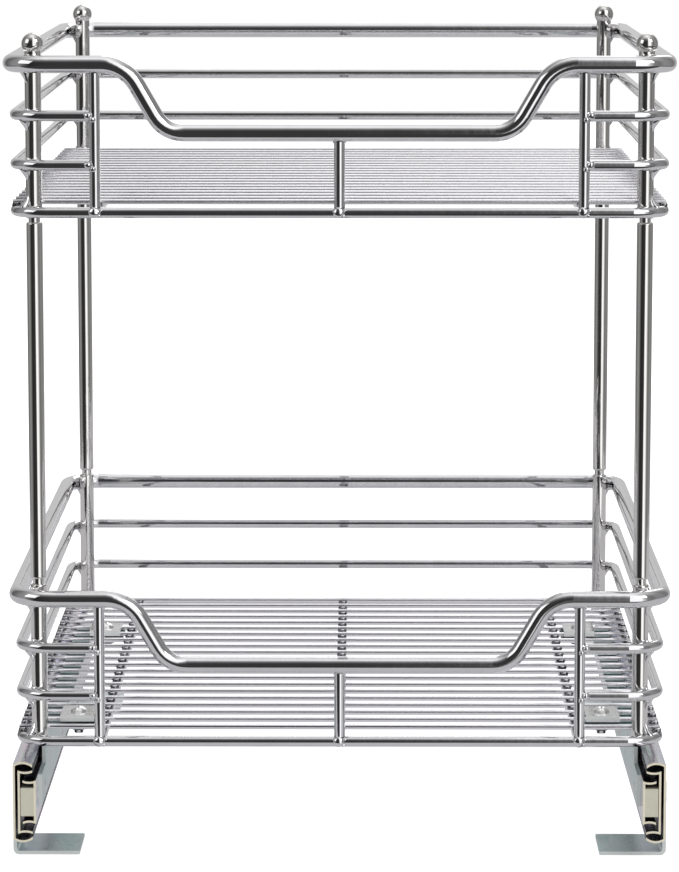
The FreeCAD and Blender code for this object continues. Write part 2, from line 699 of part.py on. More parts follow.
def foot_rivets():
    """Places along the slide of the rivets in the front and the rear foot."""
    return [f"{start} + {inset}" for start in ("foot_front_start", "foot_rear_start")
            for inset in ("rivet_inset", "foot_depth - rivet_inset")]


def bracket_rivets():
    """Places along the slide of the three rivets in a basket bracket."""
    return ["bracket_start + bracket_rivet_inset", "(bracket_start + bracket_end) / 2",
            "bracket_end - bracket_rivet_inset"]


def make_foot(end, hand, side):
    """A floor bracket: a plate bent into an L, with its leg outside the slide."""
    body = new_body(f"floor_bracket_{end}_{hand}")
    start = f"foot_{end}_start"
    hub = "foot_face - foot_bend"
    inner_bend = "(foot_bend - foot_plate)"
    corners = [
        ("foot_face", "foot_rise"),
        ("foot_face", "foot_bend"),
        (hub, "0", f"{hub} + foot_bend / sqrt(2)", "foot_bend - foot_bend / sqrt(2)"),
        ("foot_face - foot_reach", "0"),
        ("foot_face - foot_reach", "foot_plate"),
        (hub, "foot_plate"),
        ("slide_back", "foot_bend", f"{hub} + {inner_bend} / sqrt(2)",
         f"foot_bend - {inner_bend} / sqrt(2)"),
        ("slide_back", "foot_rise"),
    ]
    outline = []
    for corner in corners:
        point = (f"{side} * ({corner[0]})", corner[1])
        if len(corner) == 4:
            point += (f"{side} * ({corner[2]})", corner[3])
        outline.append(point)
    section = new_sketch(body, "XZ", f"-({start} + foot_depth)")
    draw_outline(section, outline)
    pad(body, section, "foot_depth")
    drill_sideways(body, [f"{start} + rivet_inset", f"{start} + foot_depth - rivet_inset"], "foot_rivet_z")
    if end == "rear":
        screws = new_sketch(body, "XY")
        across = f"{side} * (foot_face - foot_reach + foot_hole_inset)"
        for shift in ("-foot_hole_pitch / 2", "foot_hole_pitch / 2"):
            draw_circle(screws, across, f"{start} + foot_depth / 2 + {shift}", "foot_hole")
        doc.recompute()
        pocket_through(body, screws, "screw_holes")


def cap_drop(width, rise):
    """Half way out from its middle, how far a round cap has dropped."""
    radius = f"((({width}) / 2)^2 + ({rise})^2) / (2 * ({rise}))"
    return f"({radius} - sqrt(({radius})^2 - (({width}) / 4)^2))"


def rivet_outline(side, place, back, front, flush_way):
    """Half section of a rivet: a domed head at front and a thin flush head at back."""
    crown = f"{side} * ({front} + ({flush_way}) * rivet_crown)"
    inner = f"{side} * ({back} - ({flush_way}) * rivet_flush)"
    face = f"{side} * ({front})"
    rear = f"{side} * ({back})"
    bulge = f"{side} * ({front} + ({flush_way}) * (rivet_crown - {cap_drop('rivet_head', 'rivet_crown')}))"
    head = f"{place} + rivet_head / 2"
    shank = f"{place} + rivet_rod / 2"
    return [(inner, place), (inner, head), (rear, head), (rear, shank), (face, shank), (face, head),
            (crown, place, bulge, f"{place} + rivet_head / 4")]


def make_rivets(label, places_along, height, back, front, way):
    """A group of rivets across the plates they join, both sides of the part."""
    body = new_body(label)
    for _, side in HANDS:
        for place in places_along:
            axis = ((f"{side} * ({back})", place), (f"{side} * ({front})", place))
            turn_round(body, "XY", height, rivet_outline(side, place, back, front, way), axis, "rivet")


def make_bracket(hand, side):
    """A basket bracket: a leg on the inner member and a flange with two tabs under the floor."""
    body = new_body(f"basket_bracket_{hand}")
    leg = new_sketch(body, "YZ", f"{side} * slide_face" if side < 0 else "bracket_face")
    web_top = "slide_middle + inner_top"
    draw_outline(leg, [("bracket_start", "bracket_low"), ("bracket_start", web_top),
                       ("bracket_tall", web_top), ("bracket_tall", "tab_top"),
                       ("bracket_end", "tab_top"), ("bracket_end", "bracket_low")])
    pad(body, leg, "bracket_plate", "leg")
    flange = new_sketch(body, "XY", "tab_low")
    edge = f"{side} * (slide_face - bracket_flange)"
    tip = f"{side} * (slide_face - tab_reach)"
    root = f"{side} * slide_face"
    draw_outline(flange, [(root, "bracket_tall"), (tip, "bracket_tall"),
                          (tip, "bracket_tall + tab_depth"), (edge, "bracket_tall + tab_depth"),
                          (edge, "bracket_end - tab_depth"), (tip, "bracket_end - tab_depth"),
                          (tip, "bracket_end"), (root, "bracket_end")])
    pad(body, flange, "bracket_plate", "flange")
    drill_sideways(body, bracket_rivets(), "slide_middle")
    holes = new_sketch(body, "XY", "tab_low")
    for place in ("clamp_front", "clamp_rear"):
        draw_circle(holes, f"{side} * clamp_x", place, "screw_hole")
    doc.recompute()
    pocket_through(body, holes, "screw_holes")


def clamp_spots():
    """Middle of each of the four clamps, as (across, along)."""
    return [(f"{side} * clamp_x", place) for _, side in HANDS
            for place in ("clamp_front", "clamp_rear")]


def make_clamp_plates():
    """Four small channels over two floor wires each, held down by a screw."""
    body = new_body("clamp_plates")
    for across, along in clamp_spots():
        section = new_sketch(body, "YZ", f"{across} - clamp_width / 2")
        half = "clamp_half + clamp_plate"
        top = "clamp_seat + clamp_plate"
        low = "clamp_seat - clamp_lip"
        draw_outline(section, [
            (f"{along} - ({half})", low), (f"{along} - ({half})", top),
            (f"{along} + ({half})", top), (f"{along} + ({half})", low),
            (f"{along} + clamp_half", low), (f"{along} + clamp_half", "clamp_seat"),
            (f"{along} - clamp_half", "clamp_seat"), (f"{along} - clamp_half", low)])
        pad(body, section, "clamp_width", "plate")
    holes = new_sketch(body, "XY", "clamp_seat")
    for across, along in clamp_spots():
        draw_circle(holes, across, along, "screw_hole")
    doc.recompute()
    pocket_through(body, holes, "screw_holes")


def draw_rectangle(sketch, across, up, wide, tall):
    """A rectangle about a centre."""
    left = f"{across} - {wide} / 2"
    right = f"{across} + {wide} / 2"
    low = f"{up} - {tall} / 2"
    high = f"{up} + {tall} / 2"
    draw_outline(sketch, [(left, low), (left, high), (right, high), (right, low)])


def make_clamp_screws():
    """Pan head screws with a cross recess, down through clamp and tab."""
    body = new_body("clamp_screws")
    seat = "clamp_seat + clamp_plate"
    crown = f"{seat} + screw_crown"
    end = "tab_low - nut_height - screw_end"
    for across, along in clamp_spots():
        steps = [("0", end), ("screw_rod / 2", end), ("screw_rod / 2", seat), ("screw_head / 2", seat),
                 ("screw_head / 2", f"{crown} - screw_dome"),
                 ("0", crown, "screw_head / 4", f"{crown} - {cap_drop('screw_head', 'screw_dome')}")]
        axis = ((across, end), (across, seat))
        turn_round(body, "XZ", f"-({along})", upright_outline(across, steps), axis, "screw")
    for wide, tall in (("recess_width", "recess_slot"), ("recess_slot", "recess_width")):
        slots = new_sketch(body, "XY", f"{crown} + recess_depth")
        for across, along in clamp_spots():
            draw_rectangle(slots, across, along, wide, tall)
        doc.recompute()
        slot = body.newObject("PartDesign::Pocket", "recess")
        slot.Profile = slots
        bind(slot, Length="2 * recess_depth")


def make_clamp_nuts():
    """Hexagon nuts under the tabs."""
    body = new_body("clamp_nuts")
    plan = new_sketch(body, "XY", "tab_low - nut_height")
    for across, along in clamp_spots():
        corners = []
        for corner in range(6):
            angle = 60 * corner
            corners.append((f"{across} + nut_flats / sqrt(3) * cos({angle})",
                            f"{along} + nut_flats / sqrt(3) * sin({angle})"))
        draw_outline(plan, corners)
        draw_circle(plan, across, along, "screw_rod + 2 * rivet_fit")
    pad(body, plan, "nut_height")


def make_basket(tier):
    make_rim(tier)
    make_side_wire(tier, "high", "rim_spacing")
    make_side_wire(tier, "low", "rim_spacing + wire_spacing")
    make_bottom_frame(tier)
    make_floor_wires(tier)
    make_floor_rods(tier)
    make_front_stays(tier)
    for corner, side, end in CORNERS:
        make_post(tier, corner, side, end)


def make_all():
    for tier in TIERS:
        make_basket(tier)
    for corner, side, end in CORNERS:
        make_tube(corner, side, end)
        make_finial(corner, side, end)
    for hand, side in HANDS:
        make_slide(hand, side)
        make_bracket(hand, side)
        for end in ("front", "rear"):
            make_foot(end, hand, side)
    make_rivets("foot_rivets", foot_rivets(), "foot_rivet_z", "slide_back - sheet", "foot_face", 1)
    make_rivets("bracket_rivets", bracket_rivets(), "slide_middle", "slide_face + sheet", "bracket_face", -1)
    make_clamp_plates()
    make_clamp_screws()
    make_clamp_nuts()


def check_and_write():
    """Stop if anything failed, then write each sub-part to its own file."""
    doc.recompute()
    failed = [item.Name for item in doc.Objects if {"Invalid", "Error"} & set(item.State)]
    if failed:
        raise RuntimeError(f"failed: {failed}")
    for item in subparts:
        if item.Shape.isNull() or not item.Shape.isValid():
            raise RuntimeError(f"{item.Label} has no valid shape")
    os.makedirs("parts", exist_ok=True)
    whole = FreeCAD.BoundBox()
    for item in subparts:
        item.Shape.exportStep(f"parts/{item.Label}.step")
        whole.add(item.Shape.BoundBox)
        print(f"{item.Label}: {len(item.Shape.Solids)} solids, {item.Shape.Volume:.1f} mm3")
    print(f"{len(subparts)} sub-parts, box {whole}")


fill_sheet()
make_all()
check_and_write()
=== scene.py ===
# %% [markdown]
# # A two-tier pull-out cabinet rack
# Two chromed wire baskets stand one above the other on four upright tubes. The lower one is
# clamped to a pair of ball bearing slides, and these stand on small floor brackets. The packed
# CAD model brings every wire, tube and slide member in its right place. This file adds what the
# camera sees and the CAD leaves out: a finish for each metal, the weld beads, and a studio.

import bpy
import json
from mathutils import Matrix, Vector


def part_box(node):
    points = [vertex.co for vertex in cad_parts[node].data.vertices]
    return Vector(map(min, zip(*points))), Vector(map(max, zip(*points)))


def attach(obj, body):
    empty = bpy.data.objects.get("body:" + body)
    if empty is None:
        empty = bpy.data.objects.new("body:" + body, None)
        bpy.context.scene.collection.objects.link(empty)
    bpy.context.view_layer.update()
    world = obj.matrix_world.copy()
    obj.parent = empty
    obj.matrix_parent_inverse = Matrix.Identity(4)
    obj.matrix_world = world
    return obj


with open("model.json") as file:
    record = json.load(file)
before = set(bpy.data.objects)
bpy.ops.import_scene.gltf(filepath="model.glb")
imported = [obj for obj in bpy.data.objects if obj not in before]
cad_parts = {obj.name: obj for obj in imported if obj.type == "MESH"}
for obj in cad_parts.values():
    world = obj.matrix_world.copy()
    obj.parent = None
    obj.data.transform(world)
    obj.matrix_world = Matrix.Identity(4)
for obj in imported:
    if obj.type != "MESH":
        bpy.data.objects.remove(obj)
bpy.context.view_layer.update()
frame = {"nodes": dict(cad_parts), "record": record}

# %% [markdown]
# Blender counts in metres, and a maker of wire baskets in millimetres. The stock sizes of the
# rods and tubes are used in several steps, so they come first, as half thicknesses.

# %% Tools and stock sizes for the steps below
import json
import math

import bmesh
import bpy
from mathutils import Matrix, Vector, noise

MM = 0.001
WIRE = 3.0 * MM
RIM = 4.75 * MM
POST = 4.5 * MM
TIERS = ("upper", "lower")
print("half thicknesses in mm:", [round(size / MM, 2) for size in (WIRE, RIM, POST)])

# %% [markdown]
# ## The camera
# The photograph was taken with a long lens from about two metres, a little above the rack. A
# long lens keeps the rear basket corners nearly as large as the front ones. Its position came
# from fitting the corners of the model to the same corners in the picture.

# %% Place the camera
PHOTO_WIDE, PHOTO_TALL = 679, 872
FOCAL_PIXELS = 3931.0
EYE = Vector((0.0123, -2.344, 0.556))
PITCH_DOWN, TURN_LEFT = math.radians(8.50), math.radians(0.33)

lens = bpy.data.cameras.new("long_lens")
lens.sensor_width = 36.0
lens.lens = FOCAL_PIXELS * lens.sensor_width / max(PHOTO_WIDE, PHOTO_TALL)
camera = bpy.data.objects.new("photo_camera", lens)
bpy.context.collection.objects.link(camera)
camera.location = EYE
camera.rotation_euler = (Matrix.Rotation(TURN_LEFT, 3, "Z")
                         @ Matrix.Rotation(math.pi / 2 - PITCH_DOWN, 3, "X")).to_euler()
bpy.context.scene.camera = camera
print("lens:", round(lens.lens, 1), "mm")

# %% [markdown]
# ## Helpers for shader nodes
# A shader is a graph. A few short helpers keep the graphs readable: one adds a node with its
# settings, and the others are the sums, ramps and mixes that most of the finishes need.

# %% Add and join shader nodes
def add_node(tree, kind, inputs=None, **settings):
    """A shader node, its settings, and fixed values or links for its inputs."""
    made = tree.nodes.new("ShaderNode" + kind)
    for name, value in settings.items():
        setattr(made, name, value)
    for name, value in (inputs or {}).items():
        if isinstance(value, bpy.types.NodeSocket):
            tree.links.new(value, made.inputs[name])
        else:
            made.inputs[name].default_value = value
    return made


def math_node(tree, operation, *values):
    """The result of a sum on sockets or numbers."""
    return add_node(tree, "Math", dict(enumerate(values)), operation=operation).outputs[0]


def map_range(tree, value, start, end, to_start=0.0, to_end=1.0):
    """A value moved from one range to another, and held at its ends."""
    return add_node(tree, "MapRange", {"Value": value, "From Min": start, "From Max": end,
                                       "To Min": to_start, "To Max": to_end}).outputs[0]


print("helpers: add_node, math_node, map_range")

# %% Ramp and mix colours
def opaque(colour):
    """A colour with its alpha. One number is a grey."""
    if isinstance(colour, tuple):
        return (*colour, 1.0)
    return (colour, colour, colour, 1.0)


def colour_ramp(tree, factor, *stops):
    """A ramp through (position, grey or colour) stops."""
    ramp = add_node(tree, "ValToRGB", {"Fac": factor})
    spots = ramp.color_ramp.elements
    while len(spots) < len(stops):
        spots.new(0.5)
    for spot, (place, colour) in zip(spots, stops):
        spot.position = place
        spot.color = opaque(colour)
    return ramp.outputs["Color"]


def mix_colours(tree, factor, one, other, way="MIX"):
    """Two colours blended by a factor. The Mix node keeps its colour sockets at places 6 and 7."""
    mixer = add_node(tree, "Mix", data_type="RGBA", blend_type=way)
    for place, value in ((0, factor), (6, one), (7, other)):
        if isinstance(value, bpy.types.NodeSocket):
            tree.links.new(value, mixer.inputs[place])
        elif place == 0:
            mixer.inputs[place].default_value = value
        else:
            mixer.inputs[place].default_value = opaque(value)
    return mixer.outputs[2]


print("helpers: opaque, colour_ramp, mix_colours")

# %% [markdown]
# ## Shared effects
# Effects that several metals share are node groups, so that each is built once. Each group has
# named inputs, and gives out only masks and heights that change over the surface. The helper
# makes an empty group with its sockets.

# %% Helper that starts a node group
def new_group(name, inputs, outputs):
    """A shader node group with float inputs, and the ends to build between."""
    group = bpy.data.node_groups.new(name, "ShaderNodeTree")
    for label, value in inputs.items():
        socket = group.interface.new_socket(label, in_out="INPUT", socket_type="NodeSocketFloat")
        socket.default_value = value
    for label in outputs:
        group.interface.new_socket(label, in_out="OUTPUT", socket_type="NodeSocketFloat")
    start = group.nodes.new("NodeGroupInput")
    end = group.nodes.new("NodeGroupOutput")
    return group, start.outputs, end.inputs


print("helper: new_group")

# %% [markdown]
# The first group is plating. Chrome and zinc are never quite even: a soft cloudy mask makes
# their gloss drift, and a finer noise is the faint ripple of the metal below.

# %% Cloudy plating
plating, given, result = new_group("cloudy_plating", {"Patch Size": 20.0 * MM, "Fineness": 3.0},
                                   ["Clouds", "Ripple"])
spot = add_node(plating, "TexCoord").outputs["Object"]
patch_scale = math_node(plating, "DIVIDE", 1.0, given["Patch Size"])
clouds = add_node(plating, "TexNoise", {"Vector": spot, "Scale": patch_scale,
                                        "Detail": given["Fineness"], "Roughness": 0.6})
ripple_scale = math_node(plating, "MULTIPLY", patch_scale, 4.0)
ripple = add_node(plating, "TexNoise", {"Vector": spot, "Scale": ripple_scale, "Detail": 1.0})
plating.links.new(clouds.outputs["Fac"], result["Clouds"])
plating.links.new(ripple.outputs["Fac"], result["Ripple"])
print("group:", plating.name)

# %% [markdown]
# The second group is handling wear: hair-fine scratches from being packed and handled. Two
# stretched noises, laid across each other, give short lines instead of round spots.

# %% Fine scratches
scratches, given, result = new_group("fine_scratches", {"Line Width": 0.4 * MM, "Length Ratio": 18.0,
                                                        "Amount": 0.5}, ["Lines"])
spot = add_node(scratches, "TexCoord").outputs["Object"]
line_scale = math_node(scratches, "DIVIDE", 1.0, given["Line Width"])
long_scale = math_node(scratches, "DIVIDE", line_scale, given["Length Ratio"])
layers = []
for turn in (0.5, -0.9):
    stretch = add_node(scratches, "CombineXYZ", {"X": line_scale, "Y": long_scale, "Z": long_scale})
    turned = add_node(scratches, "Mapping", {"Vector": spot, "Rotation": (0.3, turn, turn),
                                             "Scale": stretch.outputs[0]})
    grain = add_node(scratches, "TexNoise", {"Vector": turned.outputs[0], "Scale": 1.0, "Detail": 0.0})
    layers.append(map_range(scratches, grain.outputs["Fac"], 0.68, 0.78))
either = math_node(scratches, "MAXIMUM", *layers)
lines = math_node(scratches, "MULTIPLY", either, given["Amount"])
scratches.links.new(lines, result["Lines"])
print("group:", scratches.name)

# %% [markdown]
# The third group finds sheared edges. Slide members and brackets are cut from coated sheet, so
# their front and rear ends show uncoated, slightly yellowed steel. On such a face the surface
# normal points along the slide, which is the Y axis. The brackets and the clamps give these faces
# a lighter, less metallic tint, which is partly a painted highlight along their edges.

# %% Sheared ends
SQUARE_ON = 0.98
sheared, given, result = new_group("sheared_ends", {"Softness": 0.15}, ["Cut"])
normal = add_node(sheared, "NewGeometry").outputs["True Normal"]
along = add_node(sheared, "SeparateXYZ", {"Vector": normal}).outputs["Y"]
facing = math_node(sheared, "ABSOLUTE", along)
start = math_node(sheared, "SUBTRACT", SQUARE_ON, given["Softness"])
sheared.links.new(map_range(sheared, facing, start, SQUARE_ON), result["Cut"])
print("group:", sheared.name)

# %% [markdown]
# The fourth group finds a place, such as the front ends of the ball tracks, which get a painted
# shade. It is a box on both hands of the part: from Inner to Outer across, from Front to Rear
# along, with a soft rear edge, and from Low to High. A painted mask would need the surface to be
# unwrapped, and a box only needs a few sizes.

# %% Boxed places
boxed, given, result = new_group("boxed_place", {"Inner": 0.0, "Outer": 1.0, "Front": -1.0,
                                                 "Rear": 1.0, "Fade": 1.0 * MM, "Low": 0.0,
                                                 "High": 1.0}, ["Inside"])
spot = add_node(boxed, "TexCoord").outputs["Object"]
parts = add_node(boxed, "SeparateXYZ", {"Vector": spot}).outputs
side = math_node(boxed, "ABSOLUTE", parts["X"])
faded = math_node(boxed, "ADD", given["Rear"], given["Fade"])
inside = map_range(boxed, parts["Y"], faded, given["Rear"])
for test, value, limit in (("GREATER_THAN", side, "Inner"), ("LESS_THAN", side, "Outer"),
                           ("GREATER_THAN", parts["Y"], "Front"),
                           ("GREATER_THAN", parts["Z"], "Low"), ("LESS_THAN", parts["Z"], "High")):
    inside = math_node(boxed, "MULTIPLY", inside, math_node(boxed, test, value, given[limit]))
boxed.links.new(inside, result["Inside"])
print("group:", boxed.name)

# %% [markdown]
# The fifth group finds faces that look out of a slide. The painted shade belongs inside the
# tracks, so the outer side of the intermediate member, which shows when the rack is pulled out,
# is left unshaded. Beside and above or below the inner member, such a face's normal points away
# from it.

# %% Outward faces
outer_faces, given, result = new_group("outward_faces", {"Side": 0.1, "Low": 0.0,
                                                         "High": 1.0}, ["Facing"])
spot = add_node(outer_faces, "TexCoord").outputs["Object"]
parts = add_node(outer_faces, "SeparateXYZ", {"Vector": spot}).outputs
normal = add_node(outer_faces, "NewGeometry").outputs["True Normal"]
lean = add_node(outer_faces, "SeparateXYZ", {"Vector": normal}).outputs
side = math_node(outer_faces, "ABSOLUTE", parts["X"])
hand = math_node(outer_faces, "SIGN", parts["X"])
facing = 0.0
for test, value, limit, way, part in (("GREATER_THAN", side, "Side", hand, lean["X"]),
                                      ("GREATER_THAN", parts["Z"], "High", 1.0, lean["Z"]),
                                      ("LESS_THAN", parts["Z"], "Low", -1.0, lean["Z"])):
    beyond = math_node(outer_faces, test, value, given[limit])
    out = math_node(outer_faces, "MULTIPLY", way, part)
    facing = math_node(outer_faces, "MAXIMUM", facing, math_node(outer_faces, "MULTIPLY", beyond, out))
outer_faces.links.new(map_range(outer_faces, facing, 0.1, 0.4), result["Facing"])
print("group:", outer_faces.name)

# %% [markdown]
# ## The metals
# Each finish is one material. A metal is the Principled shader with Metallic at 1, where the
# base colour tints the reflections and the roughness blurs them. The steps that all of them
# share are helpers.

# %% Helpers that start a metal
def new_metal(name, **shine):
    """A material with a metallic Principled shader. Shine is other fixed sockets."""
    finish = bpy.data.materials.new(name)
    finish.use_nodes = True
    tree = finish.node_tree
    shader = tree.nodes["Principled BSDF"]
    shader.inputs["Metallic"].default_value = 1.0
    for label, value in shine.items():
        shader.inputs[label].default_value = value
    return finish, tree, shader


def use_group(tree, group, **values):
    """Place a shared group in a material with its own values."""
    placed = tree.nodes.new("ShaderNodeGroup")
    placed.node_tree = group
    for label, value in values.items():
        placed.inputs[label.replace("_", " ")].default_value = value
    return placed.outputs


def roughen(tree, shader, mask, smooth, rough):
    """Drive the roughness between two values by a mask, which lies mostly from 0.3 to 0.7."""
    spread = map_range(tree, mask, 0.3, 0.7, smooth, rough)
    tree.links.new(spread, shader.inputs["Roughness"])
    return spread


def raise_bumps(tree, shader, height, distance):
    """Let a height mask tilt the surface. Distance is the height where the mask is 1."""
    bump = add_node(tree, "Bump", {"Height": height, "Distance": distance, "Strength": 1.0})
    tree.links.new(bump.outputs[0], shader.inputs["Normal"])


finishes = {}
print("helpers: new_metal, use_group, roughen, raise_bumps")

# %% [markdown]
# Chrome is almost a mirror. What keeps it from looking like a computer's mirror is the drawn
# wire below it: the plating is even, but the wire has a faint ripple, and the polish is a
# little hazy in places. The thin floor wires are less polished than the rest, which blurs
# their reflections. Where they were welded to the rods, they are darkened: partly plating
# stained by the weld's heat, partly a painted shade in the corner between wire and rod. These
# could be materials of their own, but it is all one plating, so they are places in it.

# %% Chromed wire and chromed tube
# The dark weld tint is partly heat-stained plating and partly a painted shade between wire and rod.
SATIN_TINT, BURNT_AND_SHADED_TINT = (0.93, 0.92, 0.95), (0.08, 0.08, 0.085)
LEAST_DARKENED = 0.35


def chrome(name, dark, light, patch, satin=(), burnt_and_shaded=()):
    """Satin is a list of (added roughness, box). The last argument is a list of boxes that are
    darkened, as heat-stained plating and as a painted shade between wire and rod.
    """
    finish, tree, shader = new_metal(name)
    clouds = use_group(tree, plating, Patch_Size=patch, Fineness=3.0)
    marks = use_group(tree, scratches, Line_Width=0.3 * MM, Length_Ratio=25.0, Amount=0.25)
    tint = mix_colours(tree, clouds["Clouds"], dark, light)
    haze = math_node(tree, "ADD", clouds["Clouds"], marks["Lines"])
    spread = roughen(tree, shader, haze, 0.03, 0.08)
    for added, box in satin:
        inside = use_group(tree, boxed, **box)["Inside"]
        tint = mix_colours(tree, inside, tint, SATIN_TINT)
        spread = math_node(tree, "MULTIPLY_ADD", inside, added, spread)
    for box in burnt_and_shaded:
        inside = use_group(tree, boxed, **box)["Inside"]
        uneven = math_node(tree, "ADD", clouds["Clouds"], LEAST_DARKENED)
        tint = mix_colours(tree, math_node(tree, "MULTIPLY", inside, uneven), tint, BURNT_AND_SHADED_TINT)
    tree.links.new(tint, shader.inputs["Base Color"])
    tree.links.new(spread, shader.inputs["Roughness"])
    raise_bumps(tree, shader, clouds["Ripple"], 0.02 * MM)
    return finish


finishes["chrome_tube"] = chrome("chromed_tube", (0.71, 0.70, 0.69), (0.83, 0.82, 0.80), 24.0 * MM)
print("finishes:", ", ".join(finishes))

# %% [markdown]
# The boxes for the satin wires and for the darkened welds come from the CAD nodes: the floor
# wires' own heights, and a narrow strip over each rod and over the sides of the bottom frame.
# The strips take in the wires' undersides and the rods' tops, and their dark tint is partly a
# painted shade between them. They start behind the front wire of the frame, which is as bright
# as the rest.

# %% The floor's places in the chromed wire
SATIN_ROUGHNESS = {"upper": 0.17, "lower": 0.05}
DARKENED_HALF_WIDTH = 2.6 * MM
FRONT_WIRE_SPACE = 13.0 * MM


def floor_boxes(tier):
    """The box that holds the floor wires of a basket, and those that hold their welds."""
    wires_low, wires_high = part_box(f"{tier}_floor_wires")
    frame_low, frame_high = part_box(f"{tier}_bottom_frame")
    along = {"Front": frame_low[1] + FRONT_WIRE_SPACE, "Rear": frame_high[1]}
    wires = {**along, "Low": wires_low[2], "High": wires_high[2]}
    under = {**along, "Low": wires_low[2] - 3.0 * MM, "High": wires_low[2] + 1.0 * MM}
    side_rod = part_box(f"{tier}_floor_rods")[1][0] - WIRE
    side_frame = frame_high[0] - WIRE
    welds = [{**under, "Inner": across - DARKENED_HALF_WIDTH, "Outer": across + DARKENED_HALF_WIDTH}
             for across in (0.0, side_rod, side_frame)]
    return wires, welds


satin, burnt_and_shaded = [], []
for tier, added in SATIN_ROUGHNESS.items():
    wires, welds = floor_boxes(tier)
    satin.append((added, wires))
    burnt_and_shaded.extend(welds)
finishes["chrome_wire"] = chrome("chromed_wire", (0.71, 0.705, 0.72), (0.85, 0.845, 0.86), 16.0 * MM,
                                 satin, burnt_and_shaded)
print("satin boxes:", len(satin), "burnt boxes:", len(burnt_and_shaded))

# %% [markdown]
# Zinc plating is dipped in a passivating bath, which leaves a film as thin as a soap bubble's.
# Its colour drifts between lavender, pink and green. A real thin film would have to be worked
# out for every angle of view, so here a slow noise walks through a ramp of those tints. The cut
# ends keep the yellowed steel, and a painted shade darkens the open ends of the ball tracks,
# where little light gets in.

# %% Helper for zinc plated steel
SCRATCHED_ZINC = (0.80, 0.80, 0.78)
CUT_METALLIC, CUT_ROUGHER = 0.25, 0.3


def zinc(name, tints, end_tint, patch, smooth, rough, rolled=1.0, waves=0.01 * MM, dark=None,
         box=None, shell=None):
    """Rolled draws the film out along the slide, and waves is the height of its bumps. Dark
    is a painted shade over what is inside the box, but not over outward faces round the shell."""
    finish, tree, shader = new_metal(name)
    spot = add_node(tree, "TexCoord").outputs["Object"]
    drawn = add_node(tree, "Mapping", {"Vector": spot, "Scale": (1.0, 1.0 / rolled, 1.0)}).outputs[0]
    bands = add_node(tree, "TexNoise", {"Vector": drawn, "Scale": 1.0 / patch, "Detail": 3.0})
    grit = use_group(tree, plating, Patch_Size=3.0 * MM, Fineness=2.0)
    marks = use_group(tree, scratches, Line_Width=0.5 * MM, Length_Ratio=14.0, Amount=0.35)
    ends = use_group(tree, sheared, Softness=0.12)
    film = colour_ramp(tree, bands.outputs["Fac"], *tints)
    whole = mix_colours(tree, marks["Lines"], film, SCRATCHED_ZINC)
    if dark is not None:
        painted_shade = use_group(tree, boxed, **box)["Inside"]
        if shell is not None:
            looking_out = use_group(tree, outer_faces, **shell)["Facing"]
            painted_shade = math_node(tree, "MULTIPLY", painted_shade, math_node(tree, "SUBTRACT", 1.0, looking_out))
        whole = mix_colours(tree, painted_shade, whole, dark)
    whole = mix_colours(tree, ends["Cut"], whole, end_tint)
    tree.links.new(whole, shader.inputs["Base Color"])
    ends_metallic = math_node(tree, "MULTIPLY_ADD", ends["Cut"], CUT_METALLIC - 1.0, 1.0)
    tree.links.new(ends_metallic, shader.inputs["Metallic"])
    haze = math_node(tree, "ADD", grit["Clouds"], math_node(tree, "MULTIPLY", marks["Lines"], 0.4))
    spread = roughen(tree, shader, haze, smooth, rough)
    cut_spread = math_node(tree, "MULTIPLY_ADD", ends["Cut"], CUT_ROUGHER, spread)
    tree.links.new(cut_spread, shader.inputs["Roughness"])
    raise_bumps(tree, shader, grit["Ripple"], waves)
    return finish


print("helper: zinc")

# %% [markdown]
# The slide members and the floor brackets have the same kind of plating. The rolled members show
# it in long streaks, and the stamped brackets in patches of a colder blue green.

# %% Slides, brackets and rivets
LAVENDER, PINK, MINT = (0.70, 0.67, 0.84), (0.84, 0.72, 0.80), (0.66, 0.82, 0.74)
GREY, CYAN, TEAL = (0.70, 0.73, 0.74), (0.57, 0.68, 0.67), (0.49, 0.60, 0.58)
# The second colour is a near-black painted shade for the open ends of the ball tracks, where little
# light gets in.
CUT_STEEL, TRACK_SHADE = (0.78, 0.73, 0.58), (0.06, 0.055, 0.05)

track_low, track_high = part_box("slide_outer_member_right")
inner_low, inner_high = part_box("slide_inner_member_right")
track_mouth = {"Inner": inner_low[0] + 1.2 * MM, "Outer": track_high[0] - 0.6 * MM,
               "Rear": track_low[1] + 6.5 * MM, "Fade": 30.0 * MM,
               "Low": track_low[2] + 1.4 * MM, "High": track_high[2] - 1.3 * MM}
inner_shell = {"Side": inner_high[0] + 0.1 * MM, "Low": inner_low[2] - 0.1 * MM,
               "High": inner_high[2] + 0.1 * MM}
finishes["slide_steel"] = zinc(
    "zinc_slide",
    [(0.30, GREY), (0.42, LAVENDER), (0.50, GREY), (0.58, PINK), (0.66, MINT), (0.75, GREY)],
    CUT_STEEL, 6.0 * MM, 0.18, 0.28, rolled=25.0, dark=TRACK_SHADE, box=track_mouth,
    shell=inner_shell)
# The brackets' ends get a light grey green that is less metallic: partly bare steel, partly a painted
# highlight along the edges.
finishes["zinc_plate"] = zinc(
    "zinc_plate", [(0.30, TEAL), (0.45, CYAN), (0.55, (0.60, 0.66, 0.66)), (0.70, TEAL)],
    (0.68, 0.72, 0.70), 20.0 * MM, 0.26, 0.40, rolled=3.0)
finishes["fasteners"] = zinc(
    "zinc_fasteners", [(0.3, GREY), (0.6, (0.70, 0.70, 0.66))],
    GREY, 6.0 * MM, 0.20, 0.32)
print("track mouth in mm:", {label: round(value / MM, 1) for label, value in track_mouth.items()})

# %% [markdown]
# The clamps hold the lower basket's floor wires down on the slides' brackets. Their plates and
# screws are nickel plated, which is brighter and warmer than zinc, and the nuts are blackened.
# A screw's lower end hangs in the shade between the bracket's tabs, so it is tinted dark.

